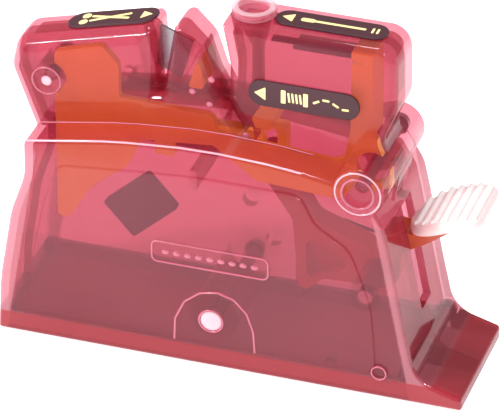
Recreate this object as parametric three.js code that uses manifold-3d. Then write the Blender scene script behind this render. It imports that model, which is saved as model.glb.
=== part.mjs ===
// Desk needle threader: a clear plastic case in two halves with a thumb lever at its right end.
// Pressing the lever pushes a hooked wire through the eye of a needle standing in the tower.
// Millimetres. X runs along the case to the right, Y from the front to the rear, Z up.
// The case halves meet at y = 0, and the base stands on z = 0.
import * as THREE from 'three';
import { mergeVertices } from 'three/addons/utils/BufferGeometryUtils.js';
import Module from 'manifold-3d';

const wasm = await Module();
wasm.setup();

// ---- driving sizes ----
const caseDepth = 29.4;       // lower body, front face to rear face
const headDepth = 13;        // cutter head and needle tower, front to rear
const footEnd = 48.5;        // right end of the foot
const toeEnd = -50.3;        // left end of the base
const towerTop = 75.2;       // top face of the needle tower
const footThickness = 2.8;
const wall = 1.6;            // case wall
const seamGap = 0.3;         // between the two case halves
const runFit = 0.3;          // clearance around whatever moves or plugs in
const bossLift = 0.5;        // how far the main boss stands out of the front face

const screws = {             // case screws: x, z, post radius
  head: { x: -41.5, z: 55.8, post: 3.2 },
  main: { x: 26.5, z: 47.3, post: 3.2 },
  base: { x: -4.0, z: 11.3, post: 5.2 },
  foot: { x: 37.4, z: 4.9, post: 2.9 },
};
const screwShank = 1.1;
const screwHead = 2.0;
const screwHeadThickness = 1.4;
const mainBoss = 5.4;        // radius of the round boss on the front

const halfBody = caseDepth / 2;
const halfHead = headDepth / 2;

// The yellow frame stands against the front wall, and the moving pieces run behind it.
const frameThickness = 1.7;
const frameFront = -halfHead + wall + runFit;
const frameRear = frameFront + frameThickness;
const movingHalf = -frameRear - runFit;    // half width of the lever and the slide
const tabHalf = movingHalf * 0.46;         // half width of the slide's tab between the lever's cheeks

const lever = { x: 27.6, z: 22.0, hub: 4.0, axle: 1.5, slotBottom: 15.0, slotTop: 38.5 };
const drive = { x: 4.0, z: 43.5, pin: 1.1, cheek: 2.6, rise: 5.4 };
const driveSlot = drive.pin + 0.4;         // half width of the slot the drive pin runs in
const tabRim = 1.0;                        // material around that slot

const pad = {                // thumb pad: its top rises from low by lift, and its stem plugs into the lever
  left: 33.4, right: 49.7, half: 8.0, thickness: 2.6, low: 35.0, lift: 5.6, stem: 1.2, stemX: 41.0, stemDepth: 2.2,
};

const springWire = 0.35;
const springTurns = 3;
const springWidth = 3.2;     // length of the coil along the axle
const springCoil = lever.axle + 2 * runFit + 0.7;

const hook = { z: 55.2, radius: 0.45, tail: -37.0, tip: -3.7, point: 1.4 };
const slide = { left: -37.6, holderRight: -33.4, wideRight: -14.0, bottom: 45.2, top: 49.0 };
const rod = { z: 42.6, radius: 0.8, left: -41.9, right: -7.6, rib: 1.4 };

const needleX = 1.1;         // where the needle stands
const seat = { right: 5.2, bottom: 51.8, top: 53.8 };
const funnel = { mouth: 3.1, bore: 0.75, stem: 1.3, flange: 4.6, lean: -0.9, coneDepth: 7.0, stemEnd: 58.6, lift: 2.0 };
const column = { left: 21.7, right: 26.1, bottom: 53.3, top: towerTop - 2.4 };
const leafThickness = 0.5;
const leafZ = towerTop - 5.0;
const bladeHalf = 0.3;
const labelThickness = 0.4;
const labelGap = 0.1;

// ---- outlines as corners [x, z, rounding radius], clockwise from the lower left ----
const bodyLeft = [
  [toeEnd, 0, 0.6], [toeEnd + 0.6, 12, 30], [-47.0, 28.5, 20], [-43.9, 37.5, 10], [-43.8, 46.0, 1.6],
  [-24.7, 49.4, 60], [-6.7, 50.9, 60], [11.3, 50.0, 60], [27.0, 47.4, 5.0], [31.8, 39.5, 8], [33.2, 33, 12],
  [36.1, 18, 20],
];
const bodyCorners = [...bodyLeft, [38.8, 5.6, 7], [footEnd, footThickness, 1.0], [footEnd, 0, 0.6]];
const roomCorners = [...bodyLeft, [39.0, 4.2, 2.5], [39.4, 0, 0.6]];
const slitLeft = [[-4.2, 58.0, 0.8], [-1.7, 51.2, 0.4]];
const slitRight = [[-0.4, 51.6, 0.4], [-2.9, 58.4, 2]];
const headCorners = [
  [-44.6, 42.5, 1], [-49.9, 57, 5], [-48.4, 63.6, 4], [-18.7, 71.4, 1.6], [-12.6, 72.2, 2.0],
  [-8.6, 67.0, 6], [-6.5, 60.4, 1.5], ...slitLeft, ...slitRight, [-3.1, 66, 10], [-4.9, towerTop, 0.8],
  [31.3, towerTop, 4.5], [31.5, 61, 6], [28.5, 54, 5], [32.1, 47.5, 3], [32.6, 41, 1],
];
const notchBlock = [[-20.4, 54.6], [-15.6, 54.6], [-14.0, 58.2], [-7.2, 73.6], [-24.2, 72.8], [-20.8, 60]];
const notchSlot = [[-18.6, 57.0], [-17.9, 57.0], [-14.6, 74.5], [-18.6, 74.5]];
const notchFlare = [[-17.1, 59.4], [-16.5, 59.4], [-9.4, 74.5], [-21.6, 74.5]];
const bladeCorners = [[-20.2, 60.4, 0.3], [-15.0, 57.8, 0.3], [-12.4, 66.6, 0.3], [-19.4, 69.4, 0.3]];

// ---- helpers ----
function counterClockwise(corners) {
  const points = corners.map(([x, z]) => new THREE.Vector2(x, z));
  return THREE.ShapeUtils.isClockWise(points) ? [...corners].reverse() : [...corners];
}

// Moves every edge inwards by distance, keeping the rounded corners concentric.
function inset(corners, distance) {
  const loop = counterClockwise(corners);
  const count = loop.length;
  const edge = (i) => {
    const [ax, az] = loop[i % count];
    const [bx, bz] = loop[(i + 1) % count];
    const length = Math.hypot(bx - ax, bz - az);
    const dx = (bx - ax) / length;
    const dz = (bz - az) / length;
    return { x: ax - dz * distance, z: az + dx * distance, dx, dz };
  };
  return loop.map(([, , radius = 0], i) => {
    const before = edge(i + count - 1);
    const after = edge(i);
    const turn = before.dx * after.dz - before.dz * after.dx;
    const along = ((after.x - before.x) * after.dz - (after.z - before.z) * after.dx) / turn;
    const newRadius = turn > 0 ? Math.max(radius - distance, 0.2) : radius + distance;
    return [before.x + before.dx * along, before.z + before.dz * along, newRadius];
  });
}

// Rounds the corners with arcs, a point about every 14 degrees.
function outline(corners) {
  const loop = counterClockwise(corners);
  const points = [];
  loop.forEach(([x, z, radius = 0], i) => {
    const [px, pz] = loop[(i + loop.length - 1) % loop.length];
    const [nx, nz] = loop[(i + 1) % loop.length];
    const back = new THREE.Vector2(px - x, pz - z);
    const ahead = new THREE.Vector2(nx - x, nz - z);
    const room = Math.min(back.length(), ahead.length()) * 0.48;
    back.normalize();
    ahead.normalize();
    const halfAngle = Math.acos(THREE.MathUtils.clamp(back.dot(ahead), -1, 1)) / 2;
    const reach = Math.min(radius / Math.tan(halfAngle), room);
    if (reach < 0.05) {
      points.push(new THREE.Vector2(x, z));
      return;
    }
    const start = new THREE.Vector2(x, z).addScaledVector(back, reach);
    const end = new THREE.Vector2(x, z).addScaledVector(ahead, reach);
    const arc = reach * Math.tan(halfAngle);
    const middle = new THREE.Vector2().addVectors(back, ahead).normalize();
    const centre = new THREE.Vector2(x, z).addScaledVector(middle, reach / Math.cos(halfAngle));
    const from = start.clone().sub(centre).angle();
    let sweep = end.clone().sub(centre).angle() - from;
    sweep -= Math.round(sweep / (2 * Math.PI)) * 2 * Math.PI;
    const steps = Math.max(1, Math.round(Math.abs(sweep) / THREE.MathUtils.degToRad(14)));
    for (let k = 0; k <= steps; k += 1) {
      const angle = from + (sweep * k) / steps;
      points.push(new THREE.Vector2(centre.x + arc * Math.cos(angle), centre.y + arc * Math.sin(angle)));
    }
  });
  return points;
}

function solid(geometry) {
  const bare = geometry.index ? geometry.toNonIndexed() : geometry.clone();
  bare.deleteAttribute('normal');
  bare.deleteAttribute('uv');
  const merged = mergeVertices(bare, 1e-5);
  return new wasm.Manifold(new wasm.Mesh({
    numProp: 3,
    vertProperties: new Float32Array(merged.attributes.position.array),
    triVerts: new Uint32Array(merged.index.array),
  }));
}

// A plate of the given x-z outline between y = front and y = rear.
function plate(points, front, rear) {
  const shape = new THREE.Shape(points.map((p) => (Array.isArray(p) ? new THREE.Vector2(p[0], p[1]) : p)));
  const geometry = new THREE.ExtrudeGeometry(shape, { depth: rear - front, bevelEnabled: false });
  geometry.rotateX(Math.PI / 2).translate(0, rear, 0);
  return solid(geometry);
}

function roundPlate(corners, front, rear) {
  return plate(outline(corners), front, rear);
}

function box(x0, x1, y0, y1, z0, z1) {
  const geometry = new THREE.BoxGeometry(x1 - x0, y1 - y0, z1 - z0);
  geometry.translate((x0 + x1) / 2, (y0 + y1) / 2, (z0 + z1) / 2);
  return solid(geometry);
}

function barAlongY(x, z, radius, front, rear, sides = 20) {
  const geometry = new THREE.CylinderGeometry(radius, radius, rear - front, sides);
  geometry.translate(x, (front + rear) / 2, z);
  return solid(geometry);
}

function barAlongX(y, z, radius, left, right, sides = 12) {
  const geometry = new THREE.CylinderGeometry(radius, radius, right - left, sides);
  geometry.rotateZ(Math.PI / 2).translate((left + right) / 2, y, z);
  return solid(geometry);
}

function barAlongZ(x, y, radius, low, high, sides = 24) {
  const geometry = new THREE.CylinderGeometry(radius, radius, high - low, sides);
  geometry.rotateX(Math.PI / 2).translate(x, y, (low + high) / 2);
  return solid(geometry);
}

function join(...solids) {
  return solids.reduce((all, next) => all.add(next));
}

function cutFrom(block, ...tools) {
  return tools.reduce((left, tool) => left.subtract(tool), block);
}

// A strip with round ends, centred on the origin of the x-z plane.
function pill(length, height) {
  return roundedCorners(length, height, height / 2);
}

function roundedCorners(length, height, radius) {
  return [
    [-length / 2, -height / 2, radius], [length / 2, -height / 2, radius],
    [length / 2, height / 2, radius], [-length / 2, height / 2, radius],
  ];
}

// ---- materials ----
const plastic = (color, roughness, options = {}) => (
  new THREE.MeshStandardMaterial({ color, roughness, metalness: 0, ...options }));
const pinkClear = plastic(0xd25a80, 0.2, { transparent: true, opacity: 0.45 });
const yellow = plastic(0xe08a24, 0.4);
const orange = plastic(0xb2402a, 0.45);
const padWhite = plastic(0xf6ecec, 0.5);
const clear = plastic(0xf2e6ea, 0.15, { transparent: true, opacity: 0.5 });
const labelPlum = plastic(0x461420, 0.5);
const steel = new THREE.MeshStandardMaterial({ color: 0xb4b6ba, roughness: 0.3, metalness: 1 });
const darkSteel = new THREE.MeshStandardMaterial({ color: 0x3c3436, roughness: 0.4, metalness: 1 });

// ---- the case ----
const wholeCase = join(
  roundPlate(bodyCorners, -halfBody, halfBody),
  roundPlate(headCorners, -halfHead, halfHead),
  barAlongY(screws.main.x, screws.main.z, mainBoss, -halfBody - bossLift, halfBody, 28),
);
const headSlab = roundPlate(headCorners, -halfHead, halfHead);

function casePosts() {
  const posts = Object.values(screws).map(({ x, z, post }) => barAlongY(x, z, post, -halfBody, halfBody));
  const socket = lever.axle + runFit + wall;
  const axleSockets = [
    barAlongY(lever.x, lever.z, socket, -halfBody, -movingHalf - 2 * runFit),
    barAlongY(lever.x, lever.z, socket, movingHalf + springWidth + 2 * springWire + 4 * runFit, halfBody),
  ];
  return join(...posts, ...axleSockets);
}

function caseRibs() {
  const guideBar = box(-26.2, slitLeft[0][0], -halfHead, halfHead, hook.z - 1.0, hook.z + 1.0);
  const ribHalf = halfBody - wall / 2;
  const rodRib = box(rod.right - rod.rib, rod.right, -ribHalf, ribHalf, rod.z - 2.2, rod.z + 2.2);
  const leftRib = box(rod.left - 1.6, rod.left + rod.rib, -3, 3, rod.z - 2.0, rod.z + 2.0);
  const wallRib = box(7.2, 8.6, 6.0, halfBody, 6.0, 26.5);
  const marks = [[-4.3, 24.7], [0.8, 16.1]].map(([x, z]) => barAlongY(x, z, 1.7, halfBody - 3.6, halfBody));
  const floorPeg = barAlongY(screws.foot.x - 17, 5.2, 1.3, -halfBody, -halfBody + 4, 12);
  const stopPeg = barAlongY(-24.6, 59.9, 1.2, -halfHead, -halfHead + 2.6, 12);
  return join(guideBar, rodRib, leftRib, wallRib, ...marks, floorPeg, stopPeg);
}

function caseHollow() {
  const body = roundPlate(inset(roomCorners, wall), -halfBody + wall, halfBody - wall);
  const head = roundPlate(inset(headCorners, wall), -halfHead + wall, halfHead - wall);
  return cutFrom(join(body, head), plate(notchBlock, -halfBody, halfBody), casePosts(), caseRibs());
}

// The cutter notch is narrow at mid depth and flares towards both faces.
function cutterNotch() {
  const middle = (notchFlare[0][0] + notchFlare[1][0]) / 2;
  const shape = new THREE.Shape(notchFlare.map(([x, z]) => new THREE.Vector2(x, z)));
  const geometry = new THREE.ExtrudeGeometry(shape, { depth: halfHead - 1, bevelEnabled: false });
  geometry.rotateX(Math.PI / 2).translate(0, halfHead + 0.5, 0);
  const position = geometry.attributes.position;
  for (let i = 0; i < position.count; i += 1) {
    const spread = position.getY(i) < halfHead / 2 ? 0.15 : 1;
    position.setX(i, middle + (position.getX(i) - middle) * spread);
  }
  const rearFlare = solid(geometry);
  return join(plate(notchSlot, -halfBody, halfBody), rearFlare, rearFlare.mirror([0, 1, 0]));
}

function caseOpenings() {
  const slotHalf = movingHalf + runFit + 0.2;
  const leverSlot = box(lever.x, footEnd, -slotHalf, slotHalf, lever.slotBottom, lever.slotTop);
  const hookBore = barAlongX(0, hook.z, hook.radius + runFit, -27, needleX + 2.5);
  const rodSocket = barAlongX(0, rod.z, rod.radius + runFit, rod.left - runFit, rod.right + runFit);
  const axleBore = barAlongY(lever.x, lever.z, lever.axle + runFit, -halfBody + wall, halfBody - wall);
  const bladeRoom = roundPlate(inset(bladeCorners, -runFit), -bladeHalf - runFit, bladeHalf + runFit);
  const mouth = barAlongZ(needleX + funnel.lean, 0, funnel.mouth + 0.6 + runFit, towerTop - wall - 1.2, towerTop + 2);
  return [leverSlot, hookBore, rodSocket, axleBore, bladeRoom, mouth, cutterNotch()];
}

// The screws go in from the rear, so each hole is stepped there.
function rearFaceAt(x) {
  return x === screws.head.x ? halfHead : halfBody;
}

function frontEndAt(x) {
  return -rearFaceAt(x) + wall + 0.8;
}

function screwHoles() {
  return Object.values(screws).flatMap(({ x, z }) => {
    const rearFace = rearFaceAt(x);
    return [
      barAlongY(x, z, screwShank + runFit, frontEndAt(x), rearFace + 2, 12),
      barAlongY(x, z, screwHead + runFit, rearFace - screwHeadThickness - runFit, rearFace + 2, 16),
    ];
  });
}

function caseHalves() {
  const shell = cutFrom(
    join(wholeCase.subtract(caseHollow()), plate(notchBlock, -halfHead, halfHead).intersect(headSlab)),
    ...caseOpenings(), ...screwHoles(),
  );
  const frontDish = barAlongY(screws.main.x, screws.main.z, 3.0, -halfBody - 1, -halfBody + 0.9, 24);
  const big = 200;
  const frontHalf = shell.subtract(box(-big, big, -seamGap / 2, big, -big, big)).subtract(frontDish);
  const rearHalf = shell.subtract(box(-big, big, -big, seamGap / 2, -big, big));
  return [frontHalf, rearHalf];
}

// ---- moving pieces ----
function thumbLever() {
  const { x, z, hub } = lever;
  const padBottom = (at) => padTop(at) - pad.thickness;
  const underPad = [44.4, 41.6, 38.4, 35.6].map((at) => [at, padBottom(at) - runFit, 0.2]);
  const outerArm = roundPlate([
    [x - 3.6, z + 1, 1], [x + 3.9, z - 0.6, 1], [32.2, 27.4, 2], [37.0, 30.2, 3], [44.8, padBottom(44.8) - 1.4, 0.4],
    ...underPad, [34.2, padBottom(34.2) - 0.8, 0.3], [30.8, 32.6, 1], [28.6, 32.0, 1],
  ], -movingHalf, movingHalf);
  const innerArm = roundPlate([
    [x + 1, z - 3.6, 1], [x + 1, z + 3.6, 1], [13.4, 31.4, 3], [drive.x + drive.cheek, drive.z + 1.0, 2],
    [drive.x - drive.cheek + 0.2, drive.z + 0.6, 2], [drive.x - drive.cheek, drive.z - 1.4, 1],
    [9.2, 30.6, 2], [10.6, 12.8, 1.5], [15.6, 17.8, 2],
  ], -movingHalf, movingHalf);
  const body = join(
    barAlongY(x, z, hub, -movingHalf, movingHalf, 24),
    outerArm,
    innerArm,
    barAlongY(drive.x, drive.z, drive.cheek, -movingHalf, movingHalf, 18),
  );
  const panel = roundPlate([[12.2, 17.4, 1], [12.0, 26.6, 1], [21.6, 21.8, 1]], -halfHead, -movingHalf * 0.25);
  const forkBottom = drive.z - drive.rise - driveSlot - tabRim - 2 * runFit;
  const forkHalf = tabHalf + runFit;
  const forkGap = box(drive.x - 9, drive.x + 6.5, -forkHalf, forkHalf, forkBottom, drive.z + 9);
  const pinHole = barAlongY(drive.x, drive.z, drive.pin + runFit, -halfHead, halfHead, 14);
  const axleHole = barAlongY(x, z, lever.axle + runFit, -halfHead, halfHead, 18);
  const stemTop = padBottom(pad.stemX);
  const stemHole = barAlongZ(pad.stemX, 0, pad.stem + runFit, stemTop - pad.stemDepth - runFit, stemTop + 2, 14);
  return cutFrom(body, panel, forkGap, pinHole, axleHole, stemHole);
}

// Height of the pad's top at x: it rises to the right and levels off.
function padTop(x) {
  const along = THREE.MathUtils.clamp((x - pad.left) / (pad.right - pad.left), 0, 1);
  return pad.low + pad.lift * Math.sin((along * Math.PI) / 2) ** 1.1;
}

// The pad is a curved plate with a rounded left end, on a stem that plugs into the lever.
function thumbPad() {
  const length = pad.right - pad.left;
  const halfAt = (t) => {
    const round = Math.sqrt(Math.max(0, 1 - ((0.5 - t) / 0.5) ** 2));
    const tail = Math.sqrt(Math.max(0, 1 - ((t - 0.8) / 0.2) ** 2));
    if (t < 0.5) return pad.half * round;
    return t > 0.8 ? pad.half * (0.62 + 0.38 * tail) : pad.half;
  };
  const stations = 18;
  const across = 8;
  const rings = [];
  for (let i = 0; i <= stations; i += 1) {
    const t = 0.012 + (0.988 * i) / stations;
    const x = pad.left + length * t;
    const ring = [];
    for (let j = 0; j <= across; j += 1) {
      const y = halfAt(t) * (1 - (2 * j) / across);
      ring.push([x, y, padTop(x)]);
    }
    for (let j = across; j >= 0; j -= 1) {
      const y = halfAt(t) * (1 - (2 * j) / across);
      ring.push([x, y, padTop(x) - pad.thickness]);
    }
    rings.push(ring);
  }
  const underside = padTop(pad.stemX) - pad.thickness;
  return join(loft(rings), barAlongZ(pad.stemX, 0, pad.stem, underside - pad.stemDepth, underside + 0.6, 14));
}

// Joins equal rings of points into one closed body.
function loft(rings) {
  const size = rings[0].length;
  const positions = rings.flat(2);
  const faces = [];
  for (let i = 0; i + 1 < rings.length; i += 1) {
    for (let j = 0; j < size; j += 1) {
      const a = i * size + j;
      const b = i * size + ((j + 1) % size);
      faces.push(a, b, a + size, b, b + size, a + size);
    }
  }
  const last = (rings.length - 1) * size;
  const halfRing = size / 2;
  for (let j = 0; j + 1 < halfRing; j += 1) {
    const k = size - 1 - j;
    faces.push(j, k, j + 1, k, k - 1, j + 1);
    faces.push(last + j, last + j + 1, last + k, last + k, last + j + 1, last + k - 1);
  }
  const geometry = new THREE.BufferGeometry();
  geometry.setAttribute('position', new THREE.Float32BufferAttribute(positions, 3));
  geometry.setIndex(faces);
  return solid(geometry);
}

// A coil around the axle behind the hub, with one leg on the lever and one on the case.
function returnSpring() {
  const perTurn = 12;
  const steps = springTurns * perTurn + perTurn / 2;
  const coilStart = movingHalf + 2 * runFit + springWire;
  const at = (x, z, i) => new THREE.Vector3(lever.x + x, coilStart + (springWidth * i) / steps, lever.z + z);
  const points = [at(-10.5, -springCoil - 0.6, 0), at(-3.0, -springCoil, 0)];
  for (let i = 0; i <= steps; i += 1) {
    const angle = -Math.PI / 2 + (2 * Math.PI * i) / perTurn;
    points.push(at(springCoil * Math.cos(angle), springCoil * Math.sin(angle), i));
  }
  points.push(at(-4.5, springCoil + 0.4, steps), at(-10.5, springCoil + 1.8, steps));
  const section = new THREE.Shape();
  section.absarc(0, 0, springWire, 0, 2 * Math.PI);
  const geometry = new THREE.ExtrudeGeometry(section, {
    steps: points.length * 2,
    curveSegments: 6,
    extrudePath: new THREE.CatmullRomCurve3(points, false, 'centripetal'),
    bevelEnabled: false,
  });
  return solid(geometry);
}

// The slide runs along the guide rod; its tab holds the vertical slot for the drive pin.
function threadingSlide() {
  const { left, holderRight, wideRight, bottom, top } = slide;
  const tabLeft = drive.x - driveSlot - 2.0;
  const tabRight = drive.x + driveSlot + 2.0;
  const tabBottom = drive.z - driveSlot - tabRim;
  const tabTop = drive.z + drive.rise + driveSlot + tabRim;
  const wideBar = box(left, wideRight, -movingHalf, movingHalf, bottom, top);
  const thinBar = box(wideRight - 1, tabRight, -tabHalf, tabHalf, bottom, top);
  const holder = box(left, holderRight, -movingHalf, movingHalf, top - 1, hook.z + 2.2);
  const tab = roundPlate([
    [tabLeft, tabBottom, 1], [tabRight, tabBottom, 1], [tabRight, tabTop, 1],
    [tabLeft + 1.1, tabTop, 0.5], [tabLeft + 1.1, top, 0.2], [tabLeft, top, 0.2],
  ], -tabHalf, tabHalf);
  const ears = [[left, left + 4], [-20, -16]].map(([x0, x1]) => (
    box(x0, x1, -movingHalf, movingHalf, rod.z - 1.9, bottom + 1)));
  const slot = roundPlate([
    [drive.x - driveSlot, drive.z - driveSlot, driveSlot], [drive.x + driveSlot, drive.z - driveSlot, driveSlot],
    [drive.x + driveSlot, drive.z + drive.rise + driveSlot, driveSlot],
    [drive.x - driveSlot, drive.z + drive.rise + driveSlot, driveSlot],
  ], -halfHead, halfHead);
  const wireHole = barAlongX(0, hook.z, hook.radius + runFit, hook.tail - runFit, holderRight + 1);
  const rodBore = barAlongX(0, rod.z, rod.radius + runFit, toeEnd, wideRight);
  return cutFrom(join(wideBar, thinBar, holder, tab, ...ears), slot, wireHole, rodBore);
}

// A wire with a tapered point and a small barb that catches the thread.
function threadingHook() {
  const length = hook.tip - hook.tail;
  const profile = [
    [0, 0], [hook.radius, 0], [hook.radius, length - hook.point], [0.16, length], [0, length],
  ].map(([r, along]) => new THREE.Vector2(r, along));
  const geometry = new THREE.LatheGeometry(profile, 10);
  geometry.rotateZ(-Math.PI / 2).translate(hook.tail, 0, hook.z);
  const barbRoot = hook.tip - hook.point;
  return solid(geometry).subtract(box(barbRoot - 0.7, barbRoot + 0.2, -1, 1, hook.z + 0.12, hook.z + 1));
}

// ---- fixed inner pieces ----
function innerFrame() {
  const block = roundPlate([
    [-40.4, 61.8, 1], [-30.4, 65.0, 1.5], [-26.8, 61.0, 2], [-26.8, 53.6, 0.5], [-6.8, 52.8, 1], [-6.0, 46.2, 0.6],
    [-22.0, 44.6, 1], [-25.4, 37.6, 3], [-33.0, 31.6, 8], [-38.0, 23.2, 2], [-40.4, 23.2, 1],
  ], frameFront, frameRear);
  const rail = roundPlate([
    [-7.4, 49.0, 0.5], [-7.4, 46.4, 0.5], [2.2, 39.6, 1], [19.4, 38.6, 1], [22.6, 42.2, 2], [22.6, 52.4, 1],
    [19.6, 47.0, 4], [4.4, 48.2, 1],
  ], frameFront, frameRear);
  const ring = barAlongY(screws.main.x, screws.main.z, mainBoss, frameFront, frameRear, 28);
  const foot = roundPlate([
    [20.4, 48.0, 1], [column.left, column.bottom + 2, 3], [column.left, column.top, 1],
    [column.right, column.top, 1], [column.right, column.bottom + 2, 2], [29.3, 50.6, 0.5], [26, 46, 1],
  ], frameFront, frameRear);
  const post = box(column.left, column.right, frameFront, -frameFront - 1.6, column.bottom, column.top);
  const postHoles = [screws.main, screws.head].map(({ x, z, post }) => (
    barAlongY(x, z, post + runFit, -halfHead, halfHead, 24)));
  const leafSlot = box(column.left - 1, column.left + 2.4, -halfHead, halfHead,
    leafZ - runFit, leafZ + leafThickness + runFit);
  const room = join(
    roundPlate(inset(headCorners, wall + runFit), -halfHead, halfHead),
    roundPlate(inset(roomCorners, wall + runFit), -halfHead, halfHead),
  );
  return cutFrom(join(block, rail, ring, foot, post).intersect(room), ...postHoles, leafSlot);
}

function needleLeaf() {
  const wide = box(9.0, column.left + 2.0, -movingHalf, movingHalf, leafZ, leafZ + leafThickness);
  const tongue = box(4.0, 9.5, -0.9, 0.9, leafZ, leafZ + leafThickness);
  return join(wide, tongue);
}

function needleFunnel() {
  const { mouth, bore, stem, flange, lean, coneDepth, stemEnd, lift } = funnel;
  const top = towerTop + lift;
  const coneEnd = towerTop - coneDepth;
  const profile = [
    [bore, stemEnd], [stem, stemEnd], [stem, coneEnd], [mouth + 0.5, towerTop - 0.4], [mouth + 0.6, towerTop + runFit],
    [flange, towerTop + runFit], [flange - 0.2, top - 0.2], [flange - 0.8, top], [mouth, top], [mouth - 0.3, towerTop],
    [bore, coneEnd + 0.5], [bore, stemEnd],
  ].map(([r, z]) => new THREE.Vector2(r, z));
  const geometry = new THREE.LatheGeometry(profile, 24);
  geometry.rotateX(Math.PI / 2);
  const position = geometry.attributes.position;
  for (let i = 0; i < position.count; i += 1) {
    const up = THREE.MathUtils.clamp((position.getZ(i) - coneEnd) / coneDepth, 0, 1);
    position.setX(i, position.getX(i) + needleX + lean * up);
  }
  return solid(geometry);
}

// A ledge across the tower with a groove that the needle stands in.
function needleSeat() {
  const half = halfHead - wall - runFit - 0.2;
  const block = roundPlate([
    [needleX, seat.top], [needleX + 0.8, seat.bottom], [seat.right, seat.bottom], [seat.right, seat.top],
  ], -half, half);
  const groove = box(-1, needleX + 0.7, -0.8, 0.8, seat.top - runFit, seat.top + 1);
  return block.subtract(groove);
}

function threadGuide() {
  const half = halfHead - wall - runFit - 0.2;
  const right = -7.4 - wall;
  return roundPlate([
    [-12.2, 58.6, 0.5], [right, 58.6, 0.5], [right - 0.4, 63.4, 0.8], [right - 1.4, 64.6, 0.4],
  ], -half, half);
}

function cutterBlade() {
  return roundPlate(bladeCorners, -bladeHalf, bladeHalf);
}

function needleMagnet() {
  const turn = THREE.MathUtils.degToRad(42);
  const centre = new THREE.Vector2(-28.3, 18.4);
  const turned = outline(roundedCorners(13.1, 9.8, 0.6)).map((p) => (
    p.rotateAround(new THREE.Vector2(), turn).add(centre)));
  const rear = halfBody - wall - labelGap;
  return plate(turned, rear - 1.6, rear);
}

// Labels lie on the case: the front one on the tower, the others along the sloping and level tops.
function topLabel(length, width, x, z, slope) {
  const geometry = new THREE.ExtrudeGeometry(new THREE.Shape(outline(pill(length, width))), {
    depth: labelThickness, bevelEnabled: false,
  });
  geometry.translate(0, 0, labelGap).rotateY(-slope).translate(x, 0, z);
  return solid(geometry);
}

function frontLabel() {
  const points = outline(pill(22.9, 5.8)).map((p) => p.add(new THREE.Vector2(12.7, 61.6)));
  return plate(points, -halfHead - labelGap - labelThickness, -halfHead - labelGap);
}

function caseScrew({ x, z }) {
  const rear = rearFaceAt(x) - 0.3;
  const head = barAlongY(x, z, screwHead, rear - screwHeadThickness, rear, 16);
  const shank = barAlongY(x, z, screwShank, frontEndAt(x) + 0.5, rear - screwHeadThickness / 2, 10);
  const cross = join(
    box(x - 1.3, x + 1.3, rear - 0.7, rear + 1, z - 0.25, z + 0.25),
    box(x - 0.25, x + 0.25, rear - 0.7, rear + 1, z - 1.3, z + 1.3),
  );
  return join(head, shank).subtract(cross);
}

// ---- assembly ----
const threader = new THREE.Group();

function add(name, shape, material) {
  const { numProp, vertProperties, triVerts } = shape.getMesh();
  const geometry = new THREE.BufferGeometry();
  const positions = new Float32Array((vertProperties.length / numProp) * 3);
  for (let i = 0; i < positions.length / 3; i += 1) {
    for (let k = 0; k < 3; k += 1) positions[i * 3 + k] = vertProperties[i * numProp + k];
  }
  geometry.setAttribute('position', new THREE.BufferAttribute(positions, 3));
  geometry.setIndex(new THREE.BufferAttribute(new Uint32Array(triVerts), 1));
  geometry.computeVertexNormals();
  const mesh = new THREE.Mesh(geometry, material);
  mesh.name = name;
  threader.add(mesh);
}

const [frontHalf, rearHalf] = caseHalves();
add('front_shell', frontHalf, pinkClear);
add('rear_shell', rearHalf, pinkClear);
add('inner_frame', innerFrame(), yellow);
add('thumb_lever', thumbLever(), orange);
add('thumb_pad', thumbPad(), padWhite);
const axleEnd = halfBody - wall - runFit;
add('lever_axle', barAlongY(lever.x, lever.z, lever.axle, -axleEnd, axleEnd, 18), steel);
add('return_spring', returnSpring(), darkSteel);
add('drive_pin', barAlongY(drive.x, drive.z, drive.pin, -movingHalf + 0.1, movingHalf - 0.1, 14), steel);
add('threading_slide', threadingSlide(), yellow);
add('threading_hook', threadingHook(), steel);
add('guide_rod', barAlongX(0, rod.z, rod.radius, rod.left, rod.right, 12), darkSteel);
add('needle_funnel', needleFunnel(), clear);
add('needle_leaf', needleLeaf(), darkSteel);
add('needle_seat', needleSeat(), yellow);
add('thread_guide', threadGuide(), yellow);
add('cutter_blade', cutterBlade(), darkSteel);
add('needle_magnet', needleMagnet(), darkSteel);
add('cutter_label', topLabel(19.6, 6.2, -29.2, 68.7, Math.atan2(71.4 - 63.6, 48.4 - 18.7)), labelPlum);
add('needle_label', topLabel(23.0, 5.8, 16.3, towerTop, 0), labelPlum);
add('thread_label', frontLabel(), labelPlum);
Object.entries(screws).forEach(([name, place]) => add(`${name}_screw`, caseScrew(place), steel));

export default threader;
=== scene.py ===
# Looks for a desk needle threader: a clear pink case in two halves, a sprung lever with a white thumb pad,
# a needle funnel and three dark labels. Sizes below are millimetres; everything built is in metres.
import math

import bmesh
import bpy
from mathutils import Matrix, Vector


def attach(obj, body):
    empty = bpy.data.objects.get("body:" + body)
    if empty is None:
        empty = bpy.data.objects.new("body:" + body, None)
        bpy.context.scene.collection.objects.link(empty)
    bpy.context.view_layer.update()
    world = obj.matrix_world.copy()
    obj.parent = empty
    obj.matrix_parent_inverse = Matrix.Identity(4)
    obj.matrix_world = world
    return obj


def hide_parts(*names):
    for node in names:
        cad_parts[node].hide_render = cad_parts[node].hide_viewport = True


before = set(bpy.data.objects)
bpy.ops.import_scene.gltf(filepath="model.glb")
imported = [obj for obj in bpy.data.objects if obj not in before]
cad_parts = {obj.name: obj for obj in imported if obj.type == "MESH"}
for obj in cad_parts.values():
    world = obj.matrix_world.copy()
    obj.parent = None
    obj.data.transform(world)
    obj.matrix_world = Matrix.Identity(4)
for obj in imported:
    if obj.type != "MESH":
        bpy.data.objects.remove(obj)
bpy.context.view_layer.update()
mm = 0.001
print("frame loaded with", len(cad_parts), "nodes")


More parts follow.
